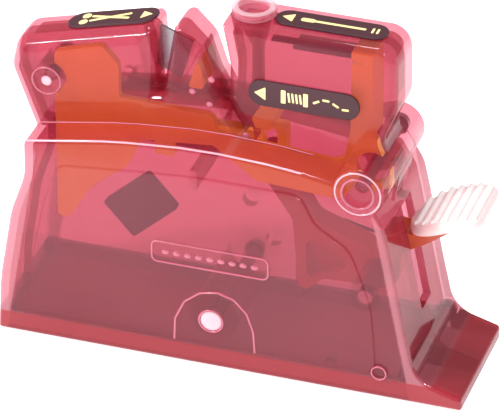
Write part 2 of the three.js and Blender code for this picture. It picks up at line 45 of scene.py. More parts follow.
def meshObject(name, points, faces):
    mesh = bpy.data.meshes.new(name)
    mesh.from_pydata([Vector(p) * mm for p in points], [], faces)
    mesh.validate()
    shape = bpy.data.objects.new(name, mesh)
    bpy.context.scene.collection.objects.link(shape)
    return shape


def faceOutwards(shape):
    work = bmesh.new()
    work.from_mesh(shape.data)
    bmesh.ops.remove_doubles(work, verts=work.verts, dist=1e-7)
    bmesh.ops.recalc_face_normals(work, faces=work.faces)
    work.to_mesh(shape.data)
    work.free()
    return shape


def freeze(shape):
    graph = bpy.context.evaluated_depsgraph_get()
    baked = bpy.data.meshes.new_from_object(shape.evaluated_get(graph))
    shape.modifiers.clear()
    old = shape.data
    shape.data = baked
    bpy.data.meshes.remove(old)
    return shape


def combine(shape, others, operation):
    for other in others:
        step = shape.modifiers.new("combine", "BOOLEAN")
        step.operation = operation
        step.solver = "MANIFOLD"
        step.object = other
        freeze(shape)
        bpy.data.objects.remove(other)
    return shape


def copyOf(shape):
    twin = shape.copy()
    twin.data = shape.data.copy()
    bpy.context.scene.collection.objects.link(twin)
    return twin


def smoothShape(shape, angle=30):
    shape.data.shade_smooth()
    shape.data.set_sharp_from_angle(angle=math.radians(angle))
    weight = shape.modifiers.new("weight", "WEIGHTED_NORMAL")
    weight.keep_sharp = True
    return freeze(shape)


# Outline corners are [x, z, rounding radius].
def counterClockwise(corners):
    area = 0
    for (ax, az, *_), (bx, bz, *_) in zip(corners, corners[1:] + corners[:1]):
        area += ax * bz - bx * az
    return list(corners) if area > 0 else list(reversed(corners))


def insetCorners(corners, distance):
    loop = counterClockwise(corners)
    moved = []
    edges = []
    for (ax, az, *_), (bx, bz, *_) in zip(loop, loop[1:] + loop[:1]):
        length = math.hypot(bx - ax, bz - az)
        dx, dz = (bx - ax) / length, (bz - az) / length
        edges.append((ax - dz * distance, az + dx * distance, dx, dz))
    for i, corner in enumerate(loop):
        px, pz, pdx, pdz = edges[i - 1]
        nx, nz, ndx, ndz = edges[i]
        turn = pdx * ndz - pdz * ndx
        along = ((nx - px) * ndz - (nz - pz) * ndx) / turn
        radius = max(corner[2] - distance, 0.15) if turn > 0 else corner[2] + distance
        moved.append([px + pdx * along, pz + pdz * along, radius])
    return moved


def outlinePoints(corners, stepDegrees=6):
    loop = counterClockwise(corners)
    points = []
    for i, (x, z, radius) in enumerate(loop):
        here = Vector((x, z))
        back = Vector(loop[i - 1][:2]) - here
        ahead = Vector(loop[(i + 1) % len(loop)][:2]) - here
        room = min(back.length, ahead.length) * 0.48
        back.normalize()
        ahead.normalize()
        halfAngle = math.acos(max(-1, min(1, back.dot(ahead)))) / 2
        reach = min(radius / math.tan(halfAngle), room)
        arc = reach * math.tan(halfAngle)
        centre = here + (back + ahead).normalized() * (reach / math.cos(halfAngle))
        start = here + back * reach - centre
        end = here + ahead * reach - centre
        begin = math.atan2(start.y, start.x)
        sweep = math.remainder(math.atan2(end.y, end.x) - begin, 2 * math.pi)
        steps = max(1, round(abs(sweep) / math.radians(stepDegrees)))
        for k in range(steps + 1):
            angle = begin + sweep * k / steps
            points.append((centre.x + arc * math.cos(angle), centre.y + arc * math.sin(angle)))
    return points


def slab(name, points, front, rear):
    count = len(points)
    verts = [(x, front, z) for x, z in points] + [(x, rear, z) for x, z in points]
    faces = [list(range(count)), list(range(2 * count - 1, count - 1, -1))]
    for i in range(count):
        j = (i + 1) % count
        faces.append([i, i + count, j + count, j])
    return faceOutwards(meshObject(name, verts, faces))


# A slab whose front and rear edges are rounded, made of a stack of insets of one outline.
def roundedSlab(name, corners, front, rear, edge, steps=6, stepDegrees=6):
    rings = []
    for k in range(steps + 1):
        angle = math.pi / 2 * k / steps
        rings.append((edge * (1 - math.sin(angle)), front + edge * (1 - math.cos(angle))))
    rings += [(distance, front + rear - y) for distance, y in reversed(rings)]
    loops = []
    for distance, y in rings:
        flat = outlinePoints(insetCorners(corners, distance), stepDegrees)
        loops.append([(x, y, z) for x, z in flat])
    return loftRings(name, loops)


def loftRings(name, loops):
    count = len(loops[0])
    verts = [p for ring in loops for p in ring]
    faces = [list(range(count))]
    for k in range(len(loops) - 1):
        for i in range(count):
            j = (i + 1) % count
            faces.append([k * count + i, (k + 1) * count + i, (k + 1) * count + j, k * count + j])
    last = (len(loops) - 1) * count
    faces.append(list(range(last + count - 1, last - 1, -1)))
    return faceOutwards(meshObject(name, verts, faces))


def block(name, x0, x1, y0, y1, z0, z1):
    return slab(name, [(x0, z0), (x1, z0), (x1, z1), (x0, z1)], y0, y1)


def discCorners(radius, sides=48):
    return [(radius * math.cos(2 * math.pi * i / sides), radius * math.sin(2 * math.pi * i / sides))
            for i in range(sides)]


def barAlongY(name, x, z, radius, front, rear, sides=48):
    return slab(name, [(x + a, z + b) for a, b in discCorners(radius, sides)], front, rear)


def barAlongX(name, y, z, radius, left, right, sides=24):
    ring = discCorners(radius, sides)
    return loftRings(name, [[(x, y + a, z + b) for a, b in ring] for x in (left, right)])


def turned(name, x, y, profile, lean=lambda z: 0.0, sides=72):
    turns = [2 * math.pi * i / sides for i in range(sides)]
    rings = [[(x + lean(z) + r * math.cos(turn), y + r * math.sin(turn), z) for turn in turns]
             for r, z in profile]
    count = sides
    verts = [p for ring in rings for p in ring]
    faces = []
    for k in range(len(rings)):
        nextRing = (k + 1) % len(rings)
        for i in range(count):
            j = (i + 1) % count
            faces.append([k * count + i, k * count + j, nextRing * count + j, nextRing * count + i])
    return faceOutwards(meshObject(name, verts, faces))


# A shader socket that maths works on.
class Shade:
    def __init__(self, tree, socket):
        self.tree = tree
        self.socket = socket

    def math(self, operation, other=None, swap=False):
        made = self.tree.nodes.new("ShaderNodeMath")
        made.operation = operation
        slots = (1, 0) if swap else (0, 1)
        self.tree.links.new(self.socket, made.inputs[slots[0]])
        if isinstance(other, Shade):
            self.tree.links.new(other.socket, made.inputs[slots[1]])
        elif other is not None:
            made.inputs[slots[1]].default_value = other
        return Shade(self.tree, made.outputs[0])

    def __add__(self, other): return self.math("ADD", other)
    def __radd__(self, other): return self.math("ADD", other, True)
    def __sub__(self, other): return self.math("SUBTRACT", other)
    def __rsub__(self, other): return self.math("SUBTRACT", other, True)
    def __mul__(self, other): return self.math("MULTIPLY", other)
    def __rmul__(self, other): return self.math("MULTIPLY", other, True)
    def __abs__(self): return self.math("ABSOLUTE")


class Finish:
    def __init__(self, name):
        self.material = bpy.data.materials.new(name)
        self.material.use_nodes = True
        self.tree = self.material.node_tree
        self.tree.nodes.clear()

    # settings are set before the sockets; a socket's value is a number, a colour or a link
    def node(self, kind, settings=None, sockets=None):
        made = self.tree.nodes.new(kind)
        for key, value in (settings or {}).items():
            setattr(made, key, value)
        for key, value in (sockets or {}).items():
            target = made.inputs[key]
            if isinstance(value, Shade):
                self.tree.links.new(value.socket, target)
            elif isinstance(value, tuple) and len(value) == 3 and target.type == "RGBA":
                target.default_value = (*value, 1)
            else:
                target.default_value = value
        return made

    def out(self, made, key=0):
        return Shade(self.tree, made.outputs[key])

    def place(self):
        return self.out(self.node("ShaderNodeTexCoord"), "Object")

    def axes(self):
        apart = self.node("ShaderNodeSeparateXYZ", sockets={"Vector": self.place()})
        return [self.out(apart, key) for key in "XYZ"]

    def facing(self):
        normal = self.out(self.node("ShaderNodeNewGeometry"), "Normal")
        apart = self.node("ShaderNodeSeparateXYZ", sockets={"Vector": normal})
        return [self.out(apart, key) for key in "XYZ"]

    def noise(self, scale, detail=2.0):
        made = self.node("ShaderNodeTexNoise", sockets={
            "Vector": self.place(), "Scale": scale, "Detail": detail})
        return self.out(made, 0)

    def blendColours(self, factor, first, second):
        made = self.node("ShaderNodeMix", {"data_type": "RGBA"}, {0: factor, 6: first, 7: second})
        return self.out(made, 2)

    def between(self, value, low, high):
        made = self.node("ShaderNodeMapRange", {"interpolation_type": "SMOOTHSTEP"}, {
            "Value": value, "From Min": low, "From Max": high})
        return self.out(made, 0)

    def bump(self, height, strength, distance):
        made = self.node("ShaderNodeBump", sockets={
            "Height": height, "Strength": strength, "Distance": distance})
        return self.out(made, 0)

    def surface(self, **sockets):
        named = {key.replace("_", " "): value for key, value in sockets.items()}
        return self.out(self.node("ShaderNodeBsdfPrincipled", sockets=named))

    def finish(self, shader):
        self.node("ShaderNodeOutputMaterial", sockets={"Surface": shader})
        return self.material


def pinkPlastic():
    look = {
        # the darkest crimson below is painted shade along the bottom of the case
        "face": (0.50, 0.06, 0.11), "edge": (0.46, 0.04, 0.075),
        "frosted": (0.52, 0.11, 0.16), "bottomShade": (0.30, 0.01, 0.022),
        "tint": (0.82, 0.50, 0.56), "faceCover": 0.15, "edgeCover": 0.30, "frostCover": 0.20,
        "bottomShadeCover": 0.68, "baseShadeCover": 0.50, "rimCover": 0.36,
        "ledge": 46.0, "frostFace": 14.6, "bottomShadeLow": 1.5, "bottomShadeHigh": 4.4,
        "leftRim": -50.0, "leftSlope": 0.165, "rightRim": 39.9, "rightSlope": 0.205,
    }
    case = Finish("pinkPlastic")
    x, y, z = case.axes()
    ny = case.facing()[1]
    edge = 1 - case.between(abs(ny), 0.35, 0.97)
    lower = case.between(z, look["ledge"] * mm, (look["ledge"] - 4) * mm)
    frost = case.between(abs(y), (look["frostFace"] - 0.4) * mm, look["frostFace"] * mm) * lower
    cloud = case.noise(38.0, 3.0)
    grain = case.noise(2600.0, 2.0)
    face = case.blendColours(frost, look["face"], look["frosted"])
    body = case.blendColours(edge, face, look["edge"])
    cover = look["faceCover"] + frost * (look["frostCover"] - look["faceCover"]) + (cloud - 0.5) * 0.08
    cover = cover + edge * (look["edgeCover"] - look["faceCover"])
    # painted shade: near the floor the case turns deep crimson and more opaque, most of all in a band a few
    # millimetres up, for the shaded bottom wall seen through the sides
    bottomShade = case.between(z, (look["bottomShadeLow"] - 0.3) * mm, (look["bottomShadeLow"] + 0.1) * mm)
    bottomShade = bottomShade * (1 - case.between(z, (look["bottomShadeHigh"] - 0.3) * mm, (look["bottomShadeHigh"] + 0.3) * mm))
    bottomShade = bottomShade * case.between(abs(y), 12.6 * mm, 12.9 * mm)
    base = case.between(z, (look["bottomShadeHigh"] + 0.6) * mm, look["bottomShadeHigh"] * mm)
    body = case.blendColours(base, body, look["bottomShade"])
    cover = cover + bottomShade * look["bottomShadeCover"] + base * (1 - bottomShade) * look["baseShadeCover"]
    # the solid rims at the case's two ends are deeper in colour
    rim = case.between(x - z * look["leftSlope"], (look["leftRim"] + 2.0) * mm, (look["leftRim"] + 1.4) * mm)
    right = x + z * look["rightSlope"]
    rim = rim + case.between(right, (look["rightRim"] - 2.2) * mm, (look["rightRim"] - 1.6) * mm)
    cover = cover + rim * lower * abs(ny) * look["rimCover"]
    rough = 0.10 + frost * 0.24 + cloud * 0.05
    relief = case.bump(grain * frost + cloud * 0.6, 0.18, 0.0002)
    shell = case.surface(Base_Color=body, Roughness=rough, IOR=1.5, Normal=relief,
                         Coat_Weight=1 - base * 0.95, Coat_Roughness=0.04, Coat_IOR=1.8)
    clear = case.out(case.node("ShaderNodeBsdfTransparent", sockets={"Color": look["tint"]}))
    mixed = case.node("ShaderNodeMixShader", sockets={0: cover, 1: clear, 2: shell})
    return case.finish(case.out(mixed))


# glow is painted light: emission that makes a part shine with no lamp on it
def mouldedPlastic(name, colour, shadow, rough, coat=0.3, glow=0.0):
    made = Finish(name)
    cloud = made.noise(90.0, 3.0)
    grain = made.noise(1800.0, 2.0)
    tone = made.blendColours(made.between(cloud, 0.35, 0.7), shadow, colour)
    relief = made.bump(grain, 0.12, 0.0001)
    return made.finish(made.surface(Base_Color=tone, Roughness=rough + cloud * 0.1, Normal=relief,
                                    Coat_Weight=coat, Coat_Roughness=0.15, Emission_Color=tone,
                                    Emission_Strength=glow))


def metal(name, colour, rough, stretch=(1.0, 1.0, 12.0)):
    made = Finish(name)
    along = made.node("ShaderNodeMapping", sockets={"Vector": made.place(), "Scale": stretch})
    streak = made.out(made.node("ShaderNodeTexNoise", sockets={
        "Vector": made.out(along), "Scale": 900.0, "Detail": 3.0}))
    tone = made.blendColours(streak, colour, tuple(c * 0.75 for c in colour))
    return made.finish(made.surface(Base_Color=tone, Roughness=rough + streak * 0.12, Metallic=1.0,
                                    Normal=made.bump(streak, 0.1, 0.00005)))


def clearPlastic():
    look = {
        "colour": (0.90, 0.66, 0.71), "rim": (0.60, 0.12, 0.18), "tint": (0.93, 0.74, 0.79), "cover": 0.38,
    }
    made = Finish("clearPlastic")
    nz = made.facing()[2]
    cloud = made.noise(120.0)
    tone = made.blendColours(made.between(abs(nz), 0.2, 0.9), look["rim"], look["colour"])
    body = made.surface(Base_Color=tone, Roughness=0.06 + cloud * 0.04, IOR=1.5, Coat_Weight=0.8,
                        Coat_Roughness=0.04)
    clear = made.out(made.node("ShaderNodeBsdfTransparent", sockets={"Color": look["tint"]}))
    mixed = made.node("ShaderNodeMixShader", sockets={0: look["cover"] + cloud * 0.1, 1: clear, 2: body})
    return made.finish(made.out(mixed))


def palePad():
    made = Finish("palePad")
    grain = made.noise(2200.0, 2.0)
    cloud = made.noise(70.0)
    tone = made.blendColours(cloud, (0.86, 0.80, 0.79), (0.82, 0.75, 0.745))
    return made.finish(made.surface(Base_Color=tone, Roughness=0.42 + cloud * 0.1,
                                    Normal=made.bump(grain, 0.15, 0.0001), Coat_Weight=0.15))


finishes = {
    "case": pinkPlastic(),
    # painted light: the yellow and orange inner parts get a faint glow so they read bright through the pink
    # case
    "yellow": mouldedPlastic("yellowPlastic", (1.0, 0.86, 0.06), (0.95, 0.70, 0.04), 0.3, 0.3, 0.24),
    "orange": mouldedPlastic("orangePlastic", (0.55, 0.08, 0.03), (0.47, 0.06, 0.02), 0.32, 0.3, 0.04),
    "pad": palePad(),
    "funnel": clearPlastic(),
    "label": mouldedPlastic("labelFilm", (0.050, 0.006, 0.014), (0.042, 0.005, 0.011), 0.45, 0.0),
    "mark": mouldedPlastic("labelInk", (0.90, 0.79, 0.36), (0.86, 0.73, 0.30), 0.5, 0.0),
    "steel": metal("platedSteel", (0.62, 0.62, 0.64), 0.25),
    "blade": metal("groundSteel", (0.30, 0.28, 0.30), 0.22, (1.0, 1.0, 30.0)),
    "magnet": mouldedPlastic("darkMagnet", (0.02, 0.012, 0.014), (0.014, 0.008, 0.01), 0.6, 0.0),
    "dark": metal("darkWire", (0.10, 0.08, 0.09), 0.35),
    "cap": mouldedPlastic("postEnd", (0.78, 0.50, 0.55), (0.72, 0.42, 0.48), 0.3),
    # painted highlight: pale, glowing lines for the white glints along the ledge and around the boss
    "highlightLine": mouldedPlastic("paintedHighlightLine", (0.72, 0.36, 0.43), (0.66, 0.30, 0.37), 0.15, 0.8),
    # painted shade: the pad's body is a pinker, darker white with a faint glow, for the shade in the grooves
    # between its ribs
    "shadedPadGroove": mouldedPlastic("shadedPadGroove", (0.84, 0.62, 0.61), (0.80, 0.57, 0.57), 0.45, 0.1),
    # painted light: the crimson ridges glow so they stay bright crimson whatever the lamps
    "crimson": mouldedPlastic("crimsonRidge", (0.48, 0.10, 0.16), (0.42, 0.08, 0.13), 0.18, 0.6),
}
print("finishes ready:", len(finishes))


def newTree(name, inputs):
    tree = bpy.data.node_groups.new(name, "GeometryNodeTree")
    tree.interface.new_socket("Geometry", in_out="INPUT", socket_type="NodeSocketGeometry")
    for label, kind, value in inputs:
        socket = tree.interface.new_socket(label, in_out="INPUT", socket_type=kind)
        socket.default_value = value
    tree.interface.new_socket("Geometry", in_out="OUTPUT", socket_type="NodeSocketGeometry")
    return tree


def treeEnd(tree, geometry, material):
    realize = tree.nodes.new("GeometryNodeRealizeInstances")
    paint = tree.nodes.new("GeometryNodeSetMaterial")
    paint.inputs["Material"].default_value = material
    out = tree.nodes.new("NodeGroupOutput")
    tree.links.new(geometry, realize.inputs[0])
    tree.links.new(realize.outputs[0], paint.inputs["Geometry"])
    tree.links.new(paint.outputs[0], out.inputs[0])


# a round ridge along every edge of a wire mesh
def ridgeTree(material):
    tree = newTree("ridgesAlongEdges", [
        ("ridgeRadius", "NodeSocketFloat", 0.0003), ("sides", "NodeSocketInt", 10)])
    start = tree.nodes.new("NodeGroupInput")
    path = tree.nodes.new("GeometryNodeMeshToCurve")
    ring = tree.nodes.new("GeometryNodeCurvePrimitiveCircle")
    sweep = tree.nodes.new("GeometryNodeCurveToMesh")
    sweep.inputs["Fill Caps"].default_value = True
    tree.links.new(start.outputs["Geometry"], path.inputs["Mesh"])
    tree.links.new(start.outputs["ridgeRadius"], ring.inputs["Radius"])
    tree.links.new(start.outputs["sides"], ring.inputs["Resolution"])
    tree.links.new(path.outputs[0], sweep.inputs["Curve"])
    tree.links.new(ring.outputs[0], sweep.inputs["Profile Curve"])
    treeEnd(tree, sweep.outputs[0], material)
    return tree


# a flattened bead on every point of a mesh
def beadTree(material):
    tree = newTree("beadsOnPoints", [
        ("beadRadius", "NodeSocketFloat", 0.0005), ("flatten", "NodeSocketVector", (1, 0.4, 1))])
    start = tree.nodes.new("NodeGroupInput")
    points = tree.nodes.new("GeometryNodeMeshToPoints")
    bead = tree.nodes.new("GeometryNodeMeshUVSphere")
    bead.inputs["Segments"].default_value = 16
    bead.inputs["Rings"].default_value = 8
    spread = tree.nodes.new("GeometryNodeInstanceOnPoints")
    tree.links.new(start.outputs["Geometry"], points.inputs["Mesh"])
    tree.links.new(start.outputs["beadRadius"], bead.inputs["Radius"])
    tree.links.new(points.outputs[0], spread.inputs["Points"])
    tree.links.new(bead.outputs[0], spread.inputs["Instance"])
    tree.links.new(start.outputs["flatten"], spread.inputs["Scale"])
    treeEnd(tree, spread.outputs[0], material)
    return tree


def growFrom(name, points, edges, tree, values):
    mesh = bpy.data.meshes.new(name)
    mesh.from_pydata([Vector(p) * mm for p in points], edges, [])
    shape = bpy.data.objects.new(name, mesh)
    bpy.context.scene.collection.objects.link(shape)
    step = shape.modifiers.new("grow", "NODES")
    step.node_group = tree
    for item in tree.interface.items_tree:
        if item.in_out == "INPUT" and item.name in values:
            step[item.identifier] = values[item.name]
    freeze(shape)
    faceOutwards(shape)
    shape.data.shade_smooth()
    shape.data.set_sharp_from_angle(angle=math.radians(50))
    return shape


def dress(shape, finish, body, slotName, *nodes):
    shape.data.materials.clear()
    shape.data.materials.append(finishes[finish])
    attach(shape, body)
    if nodes:
        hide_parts(*nodes)
    return shape


case = {
    "half": 14.7, "headHalf": 6.5, "wall": 1.6, "seam": 0.06,
    "bodyEdge": 1.0, "headEdge": 4.0, "humpEdge": 2.8, "towerEdge": 2.0,
    "footEnd": 48.5, "toeEnd": -50.3, "towerTop": 75.2, "foot": 2.8, "boss": 5.4, "bossLift": 0.5,
}
screws = {"head": (-41.5, 55.8, 3.2, 6.5), "main": (26.5, 47.3, 3.2, 14.7), "base": (-4.0, 11.3, 5.2, 14.7),
          "foot": (37.4, 4.9, 2.9, 14.7)}
lever = {"x": 27.6, "z": 22.0, "axle": 1.5, "half": 2.6, "slotLow": 15.0, "slotHigh": 38.5}
rod = {"z": 42.6, "radius": 0.8, "left": -41.9, "right": -7.6}
hook = {"z": 55.2, "radius": 0.45}
needleX = 1.1
funnel = {"mouth": 3.1, "bore": 0.75, "stem": 1.3, "flange": 4.6, "lean": -0.9, "cone": 7.0, "stemEnd": 58.6}

bodyLeft = [
    [case["toeEnd"], 0, 0.6], [case["toeEnd"] + 0.6, 12, 30], [-47.0, 28.5, 20], [-43.9, 37.5, 10],
    [-43.8, 46.0, 1.6],
    [-24.7, 49.4, 60], [-6.7, 50.9, 60], [11.3, 50.0, 60], [27.0, 47.4, 5.0], [31.8, 39.5, 8], [33.2, 33, 12],
    [36.1, 18, 20],
]
bodyCorners = bodyLeft + [[38.8, 5.6, 7], [case["footEnd"], case["foot"], 1.0], [case["footEnd"], 0, 0.6]]
roomCorners = bodyLeft + [[39.0, 4.2, 2.5], [39.4, 0, 0.6]]
leftCorners = [
    [-44.6, 42.5, 1], [-49.9, 57, 5], [-48.4, 63.6, 4], [-19.2, 71.3, 1.6], [-18.2, 57.0, 1.0],
    [-17.5, 50, 1], [-17.5, 42, 1],
]
humpCorners = [
    [-28, 42, 1], [-28, 54.5, 1], [-17.5, 56.6, 0.3], [-15.0, 73.6, 1.6], [-8.8, 67.4, 5],
    [-6.5, 60.4, 1.5], [-4.9, 57.6, 0.6], [-1.5, 51.2, 1], [2.0, 47.5, 1], [2.0, 41.0, 1],
]
towerCorners = [
    [-0.2, 51.4, 1], [-3.3, 58.6, 1.2], [-3.1, 66, 10], [-4.9, case["towerTop"], 0.8],
    [31.3, case["towerTop"], 4.5],
    [31.5, 61, 6], [28.5, 54, 5], [32.0, 46.5, 3], [31.0, 40.0, 1], [1.5, 40.0, 1],
]
notchBlock = [(-20.4, 54.6), (-15.6, 54.6), (-14.0, 58.2), (-7.2, 73.6), (-24.2, 72.8), (-20.8, 60)]
notchSlot = [(-18.6, 57.0), (-17.9, 57.0), (-14.6, 76.5), (-18.6, 76.5)]
notchFlare = [(-17.3, 59.8), (-16.7, 59.8), (-12.2, 75.0), (-20.4, 75.0)]


def casePosts():
    half = case["half"]
    posts = [barAlongY("post", x, z, post, -half, half) for x, z, post, _ in screws.values()]
    socket = lever["axle"] + 0.3 + case["wall"]
    posts.append(barAlongY("socket", lever["x"], lever["z"], socket, -half, -lever["half"] - 0.6))
    posts.append(barAlongY("socket", lever["x"], lever["z"], socket, lever["half"] + 5.1, half))
    return posts


def caseRibs():
    half = case["half"]
    headHalf = case["headHalf"]
    inner = half - case["wall"] / 2
    ribs = [
        block("guideBar", -26.2, -4.2, -headHalf, headHalf, hook["z"] - 1.0, hook["z"] + 1.0),
        block("rodRib", rod["right"] - 1.4, rod["right"], -inner, inner, rod["z"] - 2.2, rod["z"] + 2.2),
        block("leftRib", rod["left"] - 1.6, rod["left"] + 1.4, -3, 3, rod["z"] - 2, rod["z"] + 2),
        block("wallRib", 7.2, 8.6, 6.0, half, 6.0, 26.5),
        barAlongY("markOne", -4.3, 24.7, 1.7, half - 3.6, half),
        barAlongY("markTwo", 0.8, 16.1, 1.7, half - 3.6, half),
        barAlongY("floorPeg", screws["foot"][0] - 17, 5.2, 1.3, -half, -half + 4),
        barAlongY("stopPeg", -24.6, 59.9, 1.2, -headHalf, -headHalf + 2.6),
    ]
    return ribs


def notchCutters():
    half = case["half"]
    headHalf = case["headHalf"]
    middle = (notchFlare[0][0] + notchFlare[1][0]) / 2
    cutters = [slab("notchSlot", notchSlot, -half, half)]
    for side in (-1, 1):
        near = [(middle + (x - middle) * 0.15, side * 1.5, z) for x, z in notchFlare]
        far = [(x, side * (headHalf + 0.5), z) for x, z in notchFlare]
        cutters.append(loftRings("notchFlare", [near, far]))
    return cutters


def openings():
    half = case["half"]
    cut = notchCutters()
    slotHalf = lever["half"] + 0.5
    cut.append(block("leverSlot", lever["x"], case["footEnd"], -slotHalf, slotHalf,
                     lever["slotLow"], lever["slotHigh"]))
    cut.append(barAlongX("hookBore", 0, hook["z"], hook["radius"] + 0.3, -27, needleX + 2.5))
    cut.append(barAlongX("rodSocket", 0, rod["z"], rod["radius"] + 0.3,
                         rod["left"] - 0.3, rod["right"] + 0.3))
    cut.append(barAlongY("axleBore", lever["x"], lever["z"], lever["axle"] + 0.3, -half + 1.6, half - 1.6))
    blade = [(-20.5, 60.2), (-14.8, 57.4), (-12.1, 66.8), (-19.6, 69.7)]
    cut.append(slab("bladeRoom", blade, -0.6, 0.6))
    mouth = [(needleX + funnel["lean"] + a, b) for a, b in discCorners(funnel["mouth"] + 0.9)]
    top = case["towerTop"]
    cut.append(loftRings("mouth", [[(a, b, z) for a, b in mouth] for z in (top - 2.8, top + 2)]))
    for x, z, _, rear in screws.values():
        cut.append(barAlongY("screwHole", x, z, 1.4, -rear + 2.4, rear + 2, 24))
        cut.append(barAlongY("screwHead", x, z, 2.3, rear - 1.7, rear + 2, 36))
    cut.append(barAlongY("bossDish", screws["main"][0], screws["main"][1], 3.0, -16, -half - 0.5 + 1.1))
    return cut


# The frosted panel that stands a little proud of both lower faces
panel = {
    "corners": [[-43.6, 5.2, 3], [-42.6, 17.8, 20], [-39.6, 32.3, 20], [-36.4, 41.8, 2.5], [-20, 43.6, 60],
                [-6.4, 44.7, 60], [14.6, 44.6, 4], [17.6, 38.4, 5], [25.0, 33.6, 6], [29.4, 21.5, 20],
                [30.8, 5.2, 3]],
    "rise": 0.45,
}


def buildCase():
    half, headHalf, wall = case["half"], case["headHalf"], case["wall"]
    main = screws["main"]
    hollow = slab("bodyRoom", outlinePoints(insetCorners(roomCorners, wall)), -half + wall, half - wall)
    rooms = []
    for corners in (leftCorners, humpCorners, towerCorners):
        room = outlinePoints(insetCorners(corners, wall + 0.2))
        rooms.append(slab("headRoom", room, -headHalf + wall, headHalf - wall))
    combine(hollow, rooms, "UNION")
    combine(hollow, [slab("notchBlock", notchBlock, -half, half)] + casePosts() + caseRibs(), "DIFFERENCE")
    whole = roundedSlab("case", bodyCorners, -half, half, case["bodyEdge"])
    leftHead = roundedSlab("leftHead", leftCorners, -headHalf, headHalf, case["headEdge"], 8)
    hump = roundedSlab("hump", humpCorners, -headHalf, headHalf, case["humpEdge"])
    tower = roundedSlab("tower", towerCorners, -headHalf, headHalf, case["towerEdge"])
    bossCorners = [[main[0] + a, main[1] + b, 0.15] for a, b in discCorners(case["boss"], 40)]
    boss = roundedSlab("boss", bossCorners, -half - case["bossLift"], half - 1, 0.7, 4, 30)
    panels = [roundedSlab("panel", panel["corners"], -half - panel["rise"], -half + 1.0, 0.4, 3),
              roundedSlab("panel", panel["corners"], half - 1.0, half + panel["rise"], 0.4, 3)]
    combine(whole, [leftHead, hump, tower, boss] + panels, "UNION")
    combine(whole, [hollow] + openings(), "DIFFERENCE")
    rearHalf = copyOf(whole)
    whole.name = "frontCase"
    rearHalf.name = "rearCase"
    seam = case["seam"] / 2
    combine(whole, [block("cut", -200, 200, -seam, 200, -200, 200)], "DIFFERENCE")
    combine(rearHalf, [block("cut", -200, 200, -200, seam, -200, 200)], "DIFFERENCE")
    return [smoothShape(faceOutwards(shape)) for shape in (whole, rearHalf)]


frontCase, rearCase = buildCase()
dress(frontCase, "case", "case", "clear_pink", "front_shell")
dress(rearCase, "case", "case", "clear_pink", "rear_shell")
print("case halves built:", len(frontCase.data.polygons), len(rearCase.data.polygons))


pad = {"left": 33.4, "right": 49.7, "half": 8.0, "thick": 2.6, "low": 35.0, "lift": 5.6, "edge": 0.9,
       "ribs": 7, "pitch": 1.95, "firstRib": 36.0, "ribRadius": 0.80}


def padTop(x):
    along = max(0.0, min(1.0, (x - pad["left"]) / (pad["right"] - pad["left"])))
    return pad["low"] + pad["lift"] * math.sin(along * math.pi / 2) ** 1.1


def padHalf(x):
    along = max(0.0, min(1.0, (x - pad["left"]) / (pad["right"] - pad["left"])))
    rounded = math.sqrt(max(0.0, 1 - ((0.5 - along) / 0.5) ** 2)) if along < 0.5 else 1.0
    tail = math.sqrt(max(0.0, 1 - ((along - 0.8) / 0.2) ** 2)) if along > 0.8 else 1.0
    return pad["half"] * rounded if along < 0.5 else pad["half"] * (0.62 + 0.38 * tail)


def buildPad():
    stations, around = 44, 14
    loops = []
    for i in range(stations + 1):
        along = 0.5 - 0.5 * math.cos(math.pi * (0.012 + 0.976 * i / stations))
        x = pad["left"] + (pad["right"] - pad["left"]) * along
        half = max(padHalf(x), 0.4)
        edge = min(pad["edge"], half * 0.9)
        ends = min(1.0, math.sin(math.pi * along) * 6.0)
        top, low = padTop(x), padTop(x) - pad["thick"]
        middle = (top + low) / 2
        ring = []
        for side in (1, -1):
            for k in range(around):
                angle = math.pi * (k / (around - 1) - 0.5) * side
                tall = (top - middle) * (0.55 + 0.45 * ends)
                ring.append((x, side * (half - edge) + side * edge * math.cos(angle),
                             middle + tall * math.sin(angle)))
        loops.append(ring)
    shape = loftRings("thumbPadBody", loops)
    x = 41.0
    under = padTop(x) - pad["thick"]
    stem = [[(x + a, b, z) for a, b in discCorners(1.2, 24)] for z in (under - 2.2, under + 0.6)]
    combine(shape, [loftRings("stem", stem)], "UNION")
    return smoothShape(faceOutwards(shape), 40)


# the pad body wears the painted groove shade; the ribs are the plain pale finish
dress(buildPad(), "shadedPadGroove", "thumb_lever", "white_pad", "thumb_pad")
ribPoints, ribEdges = [], []
for i in range(pad["ribs"]):
    ribX = pad["firstRib"] + i * pad["pitch"]
    reach = padHalf(ribX) - 1.1
    for k in range(9):
        ribPoints.append((ribX, reach * (k / 4 - 1), padTop(ribX) - 0.05))
        if k:
            ribEdges.append((len(ribPoints) - 2, len(ribPoints) - 1))
padRibs = growFrom("padRibs", ribPoints, ribEdges, ridgeTree(finishes["pad"]),
                   {"ridgeRadius": pad["ribRadius"] * mm})
dress(padRibs, "pad", "thumb_lever", "white_pad")
print("thumb pad built")


